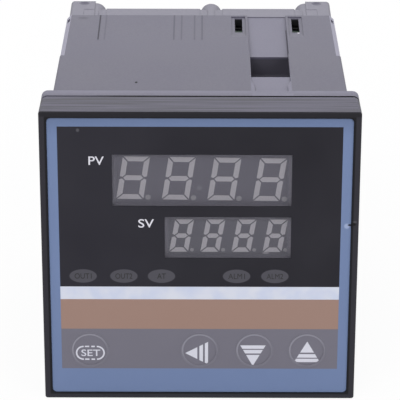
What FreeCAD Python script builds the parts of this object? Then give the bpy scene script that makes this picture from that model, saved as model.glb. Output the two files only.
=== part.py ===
import FreeCAD, Part
import math
import os

from FreeCAD import Vector

# Panel-mounted temperature controller with a square front.
# X runs across the front, Y from the front to the rear, Z up. The origin is the middle of the panel
# cut-out, on the plane of the flange's rear face, which rests on the panel. All lengths are in mm.

# ---- front frame, the moulding that faces the user ----
front_side = 72.0
frame_depth = 9.9
lip_side = 1.7
lip_top = 1.5
lip_step = 0.3
frame_edge = 0.25
front_corner = 0.6
flange_corner = 1.5
plate_thick = 2.0
skirt_wall = 2.2
spigot_wall = 1.3
spigot_reach = 4.0
spigot_play = 0.15
seam_width = 0.6
seam_depth = 1.2

# ---- case, the drafted tube behind the panel ----
flange_thick = 3.25
flange_lap = 2.2
case_draft = 0.6
case_length = 58.8
case_wall = 2.2
case_corner = 0.5
chamfer_start = 29.5
chamfer_leg = 1.0
edge_notch_back = 2.1
edge_notch_length = 2.5
edge_notch_depth = 0.8
cavity_corner = 1.0
snap_width = 10.0
snap_height = 0.7
snap_length = 1.8
snap_y = 2.0
snap_play = 0.15

# ---- seats for the mounting brackets, on the top and on the underside ----
bracket_x = 16.4
channel_width = 9.4
channel_rear_depth = 0.6
channel_front_depth = 1.3
window_width = 9.1
window_y = 16.2
window_length = 15.7
ledge_depth = 0.7
ledge_taper_y = 12.4
ledge_taper_length = 3.0
ledge_front_width = 7.6
slot_offset = 7.0
slot_width = 1.8
slot_back = 1.8
slot_length = 10.3
slot_pad_margin = 0.8
slot_pad_lead = 3.0
slot_pad_depth = 0.25
guard_depth = 5.9
guard_wall = 1.2

# ---- printed film, its clear windows and the keys ----
film_thick = 0.3
film_corner = 1.0
film_play = 0.05
pane_thick = 0.8
pane_lap = 0.6
pane_play = 0.2
key_edge_x = 8.9
key_edge_z = 11.05
key_steps = {"set": 0.0, "shift": 25.42, "down": 38.06, "up": 50.28}
key_radius = 4.3
key_ring_width = 0.45
key_ring_rise = 0.15
key_gap = 0.1
key_travel = 0.25
stem_radius = 1.75
stem_play = 0.1
switch_side = 6.0
switch_height = 3.5
switch_floor = 0.8
stem_run = 0.7

# ---- numeric displays: pv is the measured value, sv the set value ----
displays = {
    "pv": {"x": 0.47, "z": 19.27, "pitch": 10.27, "digit": (6.1, 10.45), "stroke": 1.2, "point": 0.62,
           "slant": 8.0, "turn": 0.73, "shift": -0.12, "side": 1.23},
    "sv": {"x": 6.36, "z": 5.17, "pitch": 7.1, "digit": (4.3, 8.1), "stroke": 1.12, "point": 0.45,
           "slant": 9.8, "turn": 0.0, "shift": 0.14, "side": 1.03},
}
display_rim = 1.55
window_side = 0.2
window_trim = 0.45
display_depth = 7.0
display_play = 0.1
display_gap = 0.2
digit_count = 4
bar_gap = 0.4
bar_depth = 0.3
point_reach = 0.46
point_rise = 0.5

# ---- indicator lamps behind the film ----
lamp_edge_x = 7.5
lamp_steps = {"out1": 0.0, "out2": 9.5, "tune": 18.1, "alarm1": 35.3, "alarm2": 44.1}
lamp_z = -4.58
lamp_window = (6.2, 3.7)
lamp_well_wall = 1.0
lamp_radius = 1.5
lamp_tip = 0.5
lamp_height = 6.0
lamp_flange_radius = 1.8
lamp_flange = 1.0
lamp_well_gap = 0.1

# ---- circuit boards ----
board_thick = 1.6
board_play = 0.2
post_radius = 2.2
post_inset = 3.65
post_floor = 2.65
screw_radius = 1.0
screw_play = 0.05
screw_reach = 4.5
screw_tip_gap = 0.3
screw_head_radius = 1.9
screw_head = 1.4
guide_xs = (-24.1, -5.7, -0.5)
guide_gap = 0.5
guide_length = 12.0
guide_wall = 0.8
guide_grip = 2.6
guide_play = 0.1
power_board_x = guide_xs[0]
io_board_x = guide_xs[2]
upright_play = 0.25
upright_front_gap = 2.1
upright_rear_gap = 1.8
header_side = 2.5
header_pins = 8
pin_pitch = 2.54
pin_side = 0.64
pin_play = 0.1
pin_show = 0.4

# ---- parts on the power board ----
core_size = (11.0, 18.0, 20.0)
core_limb = 4.0
core_behind_middle = 2.3
core_z = -2.0
bobbin_flange = 1.0
winding_overhang = 2.0
winding_play = 0.1
front_row_inset = 11.8
rear_row_inset = 7.7
bulk_cap = {"radius": 5.0, "height": 12.5, "z": 18.0}
output_cap = {"radius": 4.0, "height": 11.5, "z": -21.0}
can_groove = {"width": 0.8, "depth": 0.4}
varistor = {"radius": 4.0, "thick": 3.4, "lift": 1.2, "leg": 0.4, "z": 18.0}
rectifier = {"size": (3.3, 8.5, 6.5), "z": -2.0}
fuse = {"radius": 2.6, "length": 10.0, "cap": 1.6, "cap_rise": 0.3, "z": -20.0}

# ---- parts on the input and output board and on the back of the display board ----
relay_behind_middle = 3.3
main_relay = {"size": (15.7, 19.2, 15.3), "z": -7.0}
alarm_relay = {"size": (15.3, 20.5, 7.2), "z": -22.0}
converter_before_middle = 1.7
converter = {"size": (2.6, 10.2, 7.6), "z": 12.0}
relay_corner = 0.6
micro = {"side": 12.0, "thick": 1.5, "x": 14.0, "z": 10.0}
crystal = {"width": 11.0, "height": 4.6, "thick": 3.5, "x": 14.0, "z": -2.0}

# ---- terminal block at the rear ----
plug_depth = 3.0
plug_play = 0.15
block_step = 0.45
block_base = 6.1
block_corner = 1.0
bay_count = 6
bay_margin = 6.33
barrier_thick = 1.6
barrier_reach = 4.1
bay_floor = 2.4
bay_inner_x = 14.6
middle_rise = 2.0
middle_label = (22.0, 50.0)
label_recess = 0.3
corner_post = 6.2
corner_post_reach = 5.6
scoop_radius = 2.2
scoop_depth = 0.45
scoop_back = 1.8
scoop_x = 29.3
boss_radius = 2.6
boss_sink = 0.2
boss_gap = 0.2
boss_notch_depth = 4.9
side_boss_x = 26.4
side_boss_reach = 4.7
middle_boss_x = 2.7
middle_boss_reach = 4.4
boss_hole_radius = 0.9
boss_hole_depth = 3.0
terminal_x = 20.4
terminal_radius = 1.7
terminal_play = 0.15
terminal_reach = 4.0
terminal_head_radius = 2.9
terminal_head = 2.2
slot_cross = (4.4, 0.9, 1.1)
strip_thick = 0.8
strip_side_gap = 0.7
strip_length = 9.2
strip_leg_width = 3.0
strip_inset = 0.8
strip_show = 0.6
strip_play = 0.1
clamp_side_gap = 0.5
clamp_thick = 0.8
pad_radius = 2.0
pad_height = 1.8
pad_inset = 4.0

# ---- how far a cutter reaches past a face, and how deep joined solids overlap ----
over = 1.0
weld = 0.5

# ---- places that follow from the sizes ----
flange_face = -flange_thick
front_face = flange_face - frame_depth
film_face = front_face + lip_step
plate_face = film_face + film_thick
plate_back = plate_face + plate_thick
pane_back = plate_face + pane_thick
display_face = pane_back + display_play
board_face = display_face + display_depth
board_back = board_face + board_thick
film_width = front_side - 2 * lip_side
film_height = front_side - 2 * lip_top
case_front = front_side - 2 * flange_lap
slot_y = case_length - slot_back - slot_length
edge_notch_y = case_length - edge_notch_back - edge_notch_length
block_front = case_length - plug_depth
rear_board_y = block_front - pad_height - board_thick
upright_front = board_back + upright_front_gap
upright_rear = rear_board_y - upright_rear_gap
upright_middle = (upright_front + upright_rear) / 2
front_row_y = upright_front + front_row_inset
rear_row_y = upright_rear - rear_row_inset
core_y = upright_middle + core_behind_middle
relay_y = upright_middle + relay_behind_middle
converter_y = upright_middle - converter_before_middle
guide_y = rear_board_y - guide_gap - guide_length
base_rear = case_length + block_base
bay_face = base_rear - bay_floor
lamp_r = lamp_window[1] / 2

key_z = key_edge_z - film_height / 2
key_xs = {name: key_edge_x - film_width / 2 + step for name, step in key_steps.items()}
lamp_xs = {name: lamp_edge_x - film_width / 2 + step for name, step in lamp_steps.items()}

for unit in displays.values():
    digit_lean = unit["digit"][1] * math.tan(math.radians(unit["slant"]))
    unit["width"] = (digit_count - 1) * unit["pitch"] + unit["digit"][0] + digit_lean + 2 * unit["side"]
    unit["height"] = unit["digit"][1] + 2 * display_rim


def case_side(y):
    """Outside width of the drafted case at depth y."""
    return case_front - 2 * y * math.tan(math.radians(case_draft))


def cavity_side(y):
    """Inside width of the case at depth y."""
    return case_side(y) - 2 * case_wall


spigot_side = cavity_side(spigot_reach) - 2 * spigot_play
spigot_inner = spigot_side - 2 * spigot_wall
display_board_side = spigot_inner - 2 * board_play
rear_board_side = cavity_side(rear_board_y + board_thick) - 2 * board_play
upright_height = spigot_inner - 2 * upright_play
post_x = spigot_inner / 2 - post_inset
post_z = spigot_inner / 2 - post_floor
post_xz = ((-post_x, post_x), (post_x, post_x), ((key_xs["set"] + key_xs["shift"]) / 2, -post_z),
           ((key_xs["down"] + key_xs["up"]) / 2, -post_z))
base_side = case_side(case_length) - 2 * block_step
boss_z = base_side / 2 - boss_sink - boss_radius
boss_places = ((-side_boss_x, side_boss_reach), (side_boss_x, side_boss_reach),
               (middle_boss_x, middle_boss_reach))
bay_pitch = (base_side - 2 * bay_margin) / bay_count
bay_width = bay_pitch - barrier_thick
clamp_side = bay_width - 2 * clamp_side_gap
strip_width = bay_width - 2 * strip_side_gap
terminal_rows = [(i - (bay_count - 1) / 2) * bay_pitch for i in range(bay_count)]


def box(x, y, z):
    """Block between three (low, high) pairs."""
    return Part.makeBox(x[1] - x[0], y[1] - y[0], z[1] - z[0], Vector(x[0], y[0], z[0]))


def centred(value, width):
    return value - width / 2, value + width / 2


def rounded_wire(width, height, radius, y, x=0.0, z=0.0):
    """Upright rectangle with round corners, seen from the front."""
    across = width / 2 - radius
    up = height / 2 - radius
    arcs = []
    for turn, (sx, sz) in enumerate(((1, 1), (-1, 1), (-1, -1), (1, -1))):
        points = []
        for step in (0, 45, 90):
            angle = math.radians(90 * turn + step)
            points.append(Vector(x + sx * across + radius * math.cos(angle), y,
                                 z + sz * up + radius * math.sin(angle)))
        arcs.append(points)
    edges = []
    for i, points in enumerate(arcs):
        edges.append(Part.Arc(*points).toShape())
        following = arcs[(i + 1) % 4][0]
        if points[2].distanceToPoint(following) > 1e-6:
            edges.append(Part.makeLine(points[2], following))
    return Part.Wire(edges)


def polygon_wire(points):
    return Part.makePolygon(points + [points[0]])


def plate(width, height, radius, y, x=0.0, z=0.0):
    """Flat piece with round corners between the two depths in y."""
    outline = rounded_wire(width, height, radius, y[0], x, z)
    return Part.Face(outline).extrude(Vector(0, y[1] - y[0], 0))


def rod(radius, y, x, z):
    return Part.makeCylinder(radius, y[1] - y[0], Vector(x, y[0], z), Vector(0, 1, 0))


def stub(radius, x, y, z):
    """Round piece that stands across the unit, along X."""
    return Part.makeCylinder(radius, x[1] - x[0], Vector(x[0], y, z), Vector(1, 0, 0))


def loft(wires):
    return Part.makeLoft(wires, True, True)


def fuse_all(shapes):
    return shapes[0].multiFuse(shapes[1:]).removeSplitter()


def cut_all(shape, tools):
    return shape.cut(Part.makeCompound(tools))


def upside_down(shape):
    """The same shape on the underside."""
    return shape.mirror(Vector(0, 0, 0), Vector(0, 0, 1))


def turned_over(shape):
    """The same shape on the left side."""
    return shape.mirror(Vector(0, 0, 0), Vector(1, 0, 0))


# ---- case ----

def chamfered_wire(side, leg, y):
    half = side / 2
    near = half - leg
    corners = ((near, half), (-near, half), (-half, near), (-half, -near),
               (-near, -half), (near, -half), (half, -near), (half, near))
    return polygon_wire([Vector(x, y, z) for x, z in corners])


def case_body():
    """Flange and drafted tube, square-edged in front and bevelled towards the rear."""
    front_part = loft([rounded_wire(case_side(y), case_side(y), case_corner, y)
                       for y in (0.0, chamfer_start)])
    rear_part = loft([chamfered_wire(case_side(y), chamfer_leg, y)
                      for y in (chamfer_start, case_length)])
    flange = plate(front_side, front_side, flange_corner, (flange_face, 0.0))
    cavity = loft([rounded_wire(cavity_side(y), cavity_side(y), cavity_corner, y)
                   for y in (flange_face, case_length)])
    return fuse_all([flange, front_part, rear_part]).cut(cavity)


def board_guides():
    """Moulded grooves inside that take the top edges of the upright boards."""
    groove_top = upright_height / 2 + guide_play
    groove = board_thick + 2 * guide_play
    y = (guide_y, guide_y + guide_length)
    wall_z = case_side(y[1]) / 2 - case_wall / 2
    guides = []
    for x in guide_xs:
        block = box(centred(x, groove + 2 * guide_wall), y, (upright_height / 2 - guide_grip, wall_z))
        guides.append(block.cut(box(centred(x, groove), y, (0.0, groove_top))))
    return guides


def guard_floor():
    """Height of the floor below the bracket window."""
    return case_side(window_y + window_length) / 2 - guard_depth


def window_guard():
    """Closed pocket below the bracket window, which keeps a hook away from the boards."""
    y = (window_y - guard_wall, window_y + window_length + guard_wall)
    z = (guard_floor() - guard_wall, case_side(y[1]) / 2 - case_wall / 2)
    return box(centred(bracket_x, window_width + 2 * guard_wall), y, z)


def bracket_seat():
    """What is cut from the top wall: ramped channel, window, front ledge and two hook slots."""
    window_rear = window_y + window_length
    above = front_side / 2
    floor_front = case_side(window_rear) / 2 - channel_front_depth
    floor_rear = case_side(case_length) / 2 - channel_rear_depth
    slope = (floor_rear - floor_front) / (case_length - window_rear)
    x = centred(bracket_x, channel_width)
    ramp = [Vector(x[0], window_rear - over, floor_front - slope * over),
            Vector(x[0], case_length + over, floor_rear + slope * over),
            Vector(x[0], case_length + over, above), Vector(x[0], window_rear - over, above)]
    channel = Part.Face(polygon_wire(ramp)).extrude(Vector(channel_width, 0, 0))
    window = box(centred(bracket_x, window_width), (window_y, window_rear), (guard_floor(), above))
    ledge_z = case_side(0.0) / 2 - ledge_depth
    wide = window_width / 2
    narrow = ledge_front_width / 2
    taper_front = ledge_taper_y - ledge_taper_length
    outline = ((-narrow, 0.0), (-narrow, taper_front), (-wide, ledge_taper_y), (-wide, window_y + over),
               (wide, window_y + over), (wide, ledge_taper_y), (narrow, taper_front), (narrow, 0.0))
    ledge_wire = polygon_wire([Vector(bracket_x + dx, y, ledge_z) for dx, y in outline])
    ledge = Part.Face(ledge_wire).extrude(Vector(0, 0, above - ledge_z))
    cuts = [channel, window, ledge]
    for side in (-1, 1):
        slot_x = bracket_x + side * slot_offset
        cuts.append(box(centred(slot_x, slot_width), (slot_y, slot_y + slot_length),
                        (cavity_side(slot_y) / 2 - over, above)))
        cuts.append(slot_pad(slot_x, above))
    return cuts


def slot_pad(slot_x, above):
    """Shallow recess round a hook slot, with a ramp leading into it from the front."""
    far = slot_y + slot_length + slot_pad_margin
    near = slot_y - slot_pad_margin
    start = near - slot_pad_lead
    x = slot_x - slot_width / 2 - slot_pad_margin
    side = [Vector(x, start, case_side(start) / 2), Vector(x, near, case_side(near) / 2 - slot_pad_depth),
            Vector(x, far, case_side(far) / 2 - slot_pad_depth), Vector(x, far, above),
            Vector(x, start, above)]
    return Part.Face(polygon_wire(side)).extrude(Vector(slot_width + 2 * slot_pad_margin, 0, 0))


def edge_notches():
    """Short nicks in the four long edges near the rear."""
    y = (edge_notch_y, edge_notch_y + edge_notch_length)
    inner = case_side(edge_notch_y) / 2 - chamfer_leg / 2 - edge_notch_depth / 2
    outer = case_side(edge_notch_y) / 2 + over
    notches = []
    for x in ((-outer, -inner), (inner, outer)):
        for z in ((-outer, -inner), (inner, outer)):
            notches.append(box(x, y, z))
    return notches


def snap_recesses():
    """Hollows inside the side walls that the frame's snaps click into."""
    y = (snap_y - snap_play, snap_y + snap_length + snap_play)
    inner = spigot_side / 2
    outer = inner + snap_height + snap_play
    recess = box((inner, outer), y, centred(0.0, snap_width + 2 * snap_play))
    return [recess, turned_over(recess)]


def make_case_shell():
    seat = bracket_seat()
    body = cut_all(case_body(), snap_recesses() + edge_notches())
    inside = board_guides() + [window_guard()]
    body = fuse_all([body] + inside + [upside_down(rib) for rib in inside])
    return cut_all(body, seat + [upside_down(cut) for cut in seat])


# ---- front frame ----

def lamp_wells(width, height, radius, y):
    return [plate(width, height, radius, y, x, lamp_z) for x in lamp_xs.values()]


def snaps():
    y0 = snap_y
    x = spigot_side / 2
    z = -snap_width / 2
    corners = [Vector(x - snap_height, y0, z), Vector(x + snap_height, y0, z),
               Vector(x, y0 + snap_length, z), Vector(x - snap_height, y0 + snap_length, z)]
    snap = Part.Face(polygon_wire(corners)).extrude(Vector(0, 0, snap_width))
    return [snap, turned_over(snap)]


def make_front_frame():
    """Outer skirt, front plate, inner spigot with snaps, lamp wells and board posts."""
    edge_side = front_side - 2 * frame_edge
    outer = loft([rounded_wire(edge_side, edge_side, front_corner, front_face),
                  rounded_wire(front_side, front_side, front_corner, front_face + frame_edge),
                  rounded_wire(front_side, front_side, flange_corner, flange_face)])
    hollow_side = front_side - 2 * skirt_wall
    hollow = plate(hollow_side, hollow_side, cavity_corner, (plate_back, flange_face))
    seam_outer = front_side + 2 * over
    seam = plate(seam_outer, seam_outer, flange_corner, (flange_face - seam_width, flange_face))
    seam_core = front_side - 2 * seam_depth
    seam = seam.cut(plate(seam_core, seam_core, flange_corner, (flange_face - seam_width, flange_face)))
    pocket = plate(film_width, film_height, film_corner, (front_face, plate_face))
    shell = cut_all(outer, [hollow, seam, pocket])
    spigot = plate(spigot_side, spigot_side, cavity_corner, (plate_back, spigot_reach))
    spigot = spigot.cut(plate(spigot_inner, spigot_inner, cavity_corner, (plate_back, spigot_reach)))
    posts = [rod(post_radius, (plate_back, board_face), x, z) for x, z in post_xz]
    outer_well = [side + 2 * lamp_well_wall for side in lamp_window]
    well_end = board_face - lamp_flange - lamp_well_gap
    wells = lamp_wells(outer_well[0], outer_well[1], lamp_r + lamp_well_wall, (plate_back, well_end))
    frame = fuse_all([shell, spigot] + snaps() + posts + wells)
    cuts = lamp_wells(lamp_window[0], lamp_window[1], lamp_r, (plate_face, well_end))
    for x, z in post_xz:
        hole_y = (board_face - screw_reach - screw_tip_gap, board_face)
        cuts.append(rod(screw_radius + screw_play, hole_y, x, z))
    for x in key_xs.values():
        cuts.append(rod(key_radius + 2 * key_gap, (plate_face, plate_back), x, key_z))
    for unit in displays.values():
        cuts += display_openings(unit)
    return cut_all(frame, cuts)


def display_openings(unit):
    """Pocket for the clear pane and the hole for the display behind it."""
    pocket = (unit["width"] + 2 * pane_lap, unit["height"] + 2 * pane_lap)
    hole = (unit["width"] + 2 * display_gap, unit["height"] + 2 * display_gap)
    return [box(centred(unit["x"], pocket[0]), (plate_face, pane_back), centred(unit["z"], pocket[1])),
            box(centred(unit["x"], hole[0]), (plate_face, plate_back), centred(unit["z"], hole[1]))]


# ---- film, panes and keys ----

def film_window(unit):
    """Clear area of the film over a display."""
    return (centred(unit["x"], unit["width"] - 2 * window_side),
            centred(unit["z"], unit["height"] - 2 * window_trim))


def make_overlay_film():
    film = plate(film_width - 2 * film_play, film_height - 2 * film_play, film_corner,
                 (film_face, plate_face))
    cuts = []
    for unit in displays.values():
        across, up = film_window(unit)
        cuts.append(box(across, (film_face, plate_face), up))
    for x in key_xs.values():
        cuts.append(rod(key_radius + key_gap, (film_face, plate_face), x, key_z))
    return cut_all(film, cuts)


def make_pane(unit):
    across = unit["width"] + 2 * pane_lap - pane_play
    up = unit["height"] + 2 * pane_lap - pane_play
    return box(centred(unit["x"], across), (plate_face, pane_back), centred(unit["z"], up))


def make_key(x):
    """Embossed key of the film, with a raised ring round its rim."""
    disc = rod(key_radius, (film_face, plate_face), x, key_z)
    ring = rod(key_radius, (film_face - key_ring_rise, film_face), x, key_z)
    ring = ring.cut(rod(key_radius - key_ring_width, (film_face - key_ring_rise, film_face), x, key_z))
    return fuse_all([disc, ring])


def make_stem(x):
    """Plunger of the switch, from the key into the switch body."""
    return rod(stem_radius, (plate_face, board_face - switch_floor - stem_run), x, key_z)


def make_switch(x):
    y = (board_face - switch_height, board_face)
    body = box(centred(x, switch_side), y, centred(key_z, switch_side))
    return body.cut(rod(stem_radius + stem_play, (y[0], board_face - switch_floor), x, key_z))


# ---- displays ----

def digit_bars(width, height, stroke):
    """Seven bars of one digit as outlines round its own centre, before the slant."""
    w = width / 2
    h = height / 2
    s = stroke
    g = bar_gap / 2
    top = [(-w + g, h), (w - g, h), (w - s - g, h - s), (-w + s + g, h - s)]
    side = [(w, h - g), (w, 2 * g), (w - s / 2, g), (w - s, s / 2 + g), (w - s, h - s - g)]
    middle = [(-w + s / 2 + g, 0.0), (-w + s + g, s / 2), (w - s - g, s / 2),
              (w - s / 2 - g, 0.0), (w - s - g, -s / 2), (-w + s + g, -s / 2)]
    bars = [top, [(x, -z) for x, z in top], middle]
    for flip_x in (1, -1):
        for flip_z in (1, -1):
            bars.append([(flip_x * x, flip_z * z) for x, z in side])
    return bars


def display_bars(unit, y):
    """Light bars and points of one display, as separate solids, with the row's own slight turn."""
    lean = math.tan(math.radians(unit["slant"]))
    width, height = unit["digit"]
    centre = Vector(unit["x"], 0, unit["z"])
    solids = []
    for i in range(digit_count):
        cx = unit["x"] + unit["shift"] + (i - (digit_count - 1) / 2) * unit["pitch"]
        for bar in digit_bars(width, height, unit["stroke"]):
            corners = [Vector(cx + x + z * lean, y[0], unit["z"] + z) for x, z in bar]
            solids.append(Part.Face(polygon_wire(corners)).extrude(Vector(0, y[1] - y[0], 0)))
        point_x = cx + width / 2 - height / 2 * lean + unit["point"] + point_reach
        point_z = unit["z"] - height / 2 + point_rise
        solids.append(rod(unit["point"], y, point_x, point_z))
    return [solid.rotate(centre, Vector(0, 1, 0), unit["turn"]) for solid in solids]


def make_segments(unit):
    return Part.makeCompound(display_bars(unit, (display_face, display_face + bar_depth)))


def make_display_shell(unit):
    y = (display_face, board_face)
    shell = box(centred(unit["x"], unit["width"]), y, centred(unit["z"], unit["height"]))
    return cut_all(shell, display_bars(unit, (display_face, display_face + bar_depth)))


# ---- lamps and boards ----

def make_lamp(x):
    """Round lamp standing on the display board, with a bevelled end."""
    end = board_face - lamp_height
    flange = rod(lamp_flange_radius, (board_face - lamp_flange, board_face), x, lamp_z)
    body = rod(lamp_radius, (end + lamp_tip, board_face - lamp_flange), x, lamp_z)
    tip = Part.makeCone(lamp_radius - lamp_tip, lamp_radius, lamp_tip, Vector(x, end, lamp_z),
                        Vector(0, 1, 0))
    return fuse_all([flange, body, tip])


def pin_rows():
    return [(i - (header_pins - 1) / 2) * pin_pitch for i in range(header_pins)]


def header_x(board_x):
    """Middle of a pin header that lies on the right face of an upright board."""
    return board_x + board_thick / 2 + header_side / 2


def pin_holes(y):
    holes = []
    for board_x in (power_board_x, io_board_x):
        x = centred(header_x(board_x), pin_side + 2 * pin_play)
        holes += [box(x, y, centred(z, pin_side + 2 * pin_play)) for z in pin_rows()]
    return holes


def make_display_board():
    y = (board_face, board_back)
    board = plate(display_board_side, display_board_side, cavity_corner, y)
    holes = [rod(screw_radius + 2 * screw_play, y, x, z) for x, z in post_xz]
    return cut_all(board, holes + pin_holes(y))


def make_board_screws():
    screws = []
    for x, z in post_xz:
        head = rod(screw_head_radius, (board_back, board_back + screw_head), x, z)
        shank = rod(screw_radius, (board_face - screw_reach, board_back), x, z)
        slot_depth = (board_back + screw_head / 2, board_back + screw_head)
        slot = box(centred(x, 2 * screw_head_radius), slot_depth, centred(z, screw_head / 3))
        screws.append(fuse_all([head, shank]).cut(slot))
    return Part.makeCompound(screws)


def make_upright_board(board_x):
    return box(centred(board_x, board_thick), (upright_front, upright_rear), centred(0.0, upright_height))


def make_header(board_x, y_body, y_tips):
    """Pin header on an upright board, its pins reaching through the board across its edge."""
    x = header_x(board_x)
    body = box(centred(x, header_side), y_body, centred(0.0, header_pins * pin_pitch))
    pins = [box(centred(x, pin_side), y_tips, centred(z, pin_side)) for z in pin_rows()]
    return fuse_all([body] + pins)


def make_front_header(board_x):
    start = upright_front + header_side / 4
    return make_header(board_x, (start, start + header_side), (board_face, start))


def make_rear_header(board_x):
    end = upright_rear - header_side / 4
    tips = rear_board_y + board_thick + pin_show
    return make_header(board_x, (end - header_side, end), (end, tips))


def make_rear_board():
    y = (rear_board_y, rear_board_y + board_thick)
    board = plate(rear_board_side, rear_board_side, cavity_corner, y)
    legs = [terminal_leg(side, z, y, strip_play) for side in (-1, 1) for z in terminal_rows]
    return cut_all(board, legs + pin_holes(y))


# ---- parts on the boards ----

def board_right(board_x):
    return board_x + board_thick / 2


def core_box():
    x0 = board_right(power_board_x) + bobbin_flange + winding_play
    return (x0, x0 + core_size[0]), centred(core_y, core_size[1]), centred(core_z, core_size[2])


def make_transformer_core():
    """Ferrite core: a closed frame with a middle limb."""
    x, y, z = core_box()
    window = (core_size[1] - 3 * core_limb) / 2
    up = (z[0] + core_limb, z[1] - core_limb)
    cuts = []
    for side in (-1, 1):
        cy = core_y + side * (core_limb / 2 + window / 2)
        cuts.append(box(x, centred(cy, window), up))
    return cut_all(box(x, y, z), cuts)


def make_transformer_winding():
    """Coil and its bobbin, round the middle limb and standing on the board."""
    x, y, z = core_box()
    window = (core_size[1] - 3 * core_limb) / 2
    up = centred(core_z, core_size[2] - 2 * core_limb - 2 * winding_play)
    across = centred(core_y, core_limb + 2 * window - 2 * winding_play)
    foot_x = board_right(power_board_x)
    body = box((foot_x, x[1] + winding_overhang), across, up)
    foot = box((foot_x, foot_x + bobbin_flange), y, z)
    limb_x = (x[0] - winding_play, x[1] + winding_play)
    limb = box(limb_x, centred(core_y, core_limb + 2 * winding_play), up)
    return fuse_all([body, foot]).cut(limb)


def make_can(spec, y):
    """Round capacitor standing on the power board, with a groove near its foot."""
    x0 = board_right(power_board_x)
    can = stub(spec["radius"], (x0, x0 + spec["height"]), y, spec["z"])
    groove_x = x0 + spec["height"] / 8
    groove = (groove_x, groove_x + can_groove["width"])
    outer = stub(spec["radius"] + over, groove, y, spec["z"])
    inner = stub(spec["radius"] - can_groove["depth"], groove, y, spec["z"])
    return can.cut(outer.cut(inner))


def make_varistor():
    """Disc on two legs."""
    x0 = board_right(power_board_x)
    centre = x0 + varistor["lift"] + varistor["radius"]
    y = centred(rear_row_y, varistor["thick"])
    disc = Part.makeCylinder(varistor["radius"], varistor["thick"], Vector(centre, y[0], varistor["z"]),
                             Vector(0, 1, 0))
    spread = varistor["radius"] / 2
    legs = [stub(varistor["leg"], (x0, centre), rear_row_y, varistor["z"] + dz) for dz in (-spread, spread)]
    return fuse_all([disc] + legs)


def make_block(spec, board_x, y, corner=0.0):
    """Rectangular part lying on the right face of an upright board."""
    x0 = board_right(board_x)
    size = spec["size"]
    block = box((x0, x0 + size[0]), centred(y, size[1]), centred(spec["z"], size[2]))
    if corner:
        edges = [edge for edge in block.Edges if edge.BoundBox.XLength > size[0] / 2]
        block = block.makeFillet(corner, edges)
    return block


def make_fuse():
    """Glass fuse on two end caps that stand on the power board."""
    x0 = board_right(power_board_x)
    y = centred(front_row_y, fuse["length"])
    centre = x0 + fuse["radius"]
    tube = Part.makeCylinder(fuse["radius"] - fuse["cap_rise"], fuse["length"],
                             Vector(centre, y[0], fuse["z"]), Vector(0, 1, 0))
    caps = []
    for start in (y[0], y[1] - fuse["cap"]):
        foot = Vector(centre, start, fuse["z"])
        caps.append(Part.makeCylinder(fuse["radius"], fuse["cap"], foot, Vector(0, 1, 0)))
    return fuse_all([tube] + caps)


def make_micro():
    y = (board_back, board_back + micro["thick"])
    return box(centred(micro["x"], micro["side"]), y, centred(micro["z"], micro["side"]))


def make_crystal():
    y = (board_back, board_back + crystal["thick"])
    return plate(crystal["width"], crystal["height"], crystal["height"] / 2, y,
                 crystal["x"], crystal["z"])


# ---- terminal block ----

def terminal_leg(side, z, y, play=0.0):
    """Leg of one terminal strip, or the slot it passes through."""
    x = bay_inner_x + strip_inset
    leg = box((x - play, x + strip_thick + play), y, centred(z, strip_leg_width + 2 * play))
    return leg if side > 0 else turned_over(leg)


def block_bosses():
    """Round screw bosses along the top edge."""
    return [rod(boss_radius, (case_length, base_rear + reach), x, boss_z) for x, reach in boss_places]


def boss_holes():
    holes = []
    for x, reach in boss_places:
        end = base_rear + reach
        holes.append(rod(boss_hole_radius, (end - boss_hole_depth, end), x, boss_z))
    return holes


def boss_notches():
    """Notches in the top edge of the base, just wider than the bosses that stand in them."""
    top = base_side / 2
    z = (top - boss_notch_depth, top + over)
    width = 2 * (boss_radius + boss_gap)
    return [box(centred(x, width), (case_length, base_rear), z) for x, _ in boss_places]


def corner_posts():
    """Top corner posts, which stand furthest back, each with a shallow scoop in its top."""
    y = (base_rear - weld, base_rear + corner_post_reach)
    full = plate(base_side, base_side, block_corner, y)
    half = base_side / 2
    right = full.common(box((half - corner_post, half + over), y, (half - corner_post, half + over)))
    scoop_z = half + scoop_radius - scoop_depth
    right = right.cut(Part.makeSphere(scoop_radius, Vector(scoop_x, y[1] - scoop_back, scoop_z)))
    return [right, turned_over(right)]


def barriers():
    """Ribs between the terminal bays of the right column."""
    y = (bay_face - weld, base_rear + barrier_reach)
    rows = [(i - bay_count / 2) * bay_pitch for i in range(bay_count + 1)]
    return [box((bay_inner_x - weld, base_side / 2), y, centred(z, barrier_thick)) for z in rows]


def bay_cuts():
    """Bays, screw holes and leg slots of the right column."""
    cuts = []
    hole_y = (bay_face - terminal_reach - strip_play, bay_face)
    for z in terminal_rows:
        cuts.append(box((bay_inner_x, base_side / 2 + over), (bay_face, base_rear), centred(z, bay_width)))
        cuts.append(rod(terminal_radius + terminal_play, hole_y, terminal_x, z))
        cuts.append(terminal_leg(1, z, (block_front, bay_face), strip_play))
    return cuts


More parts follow.
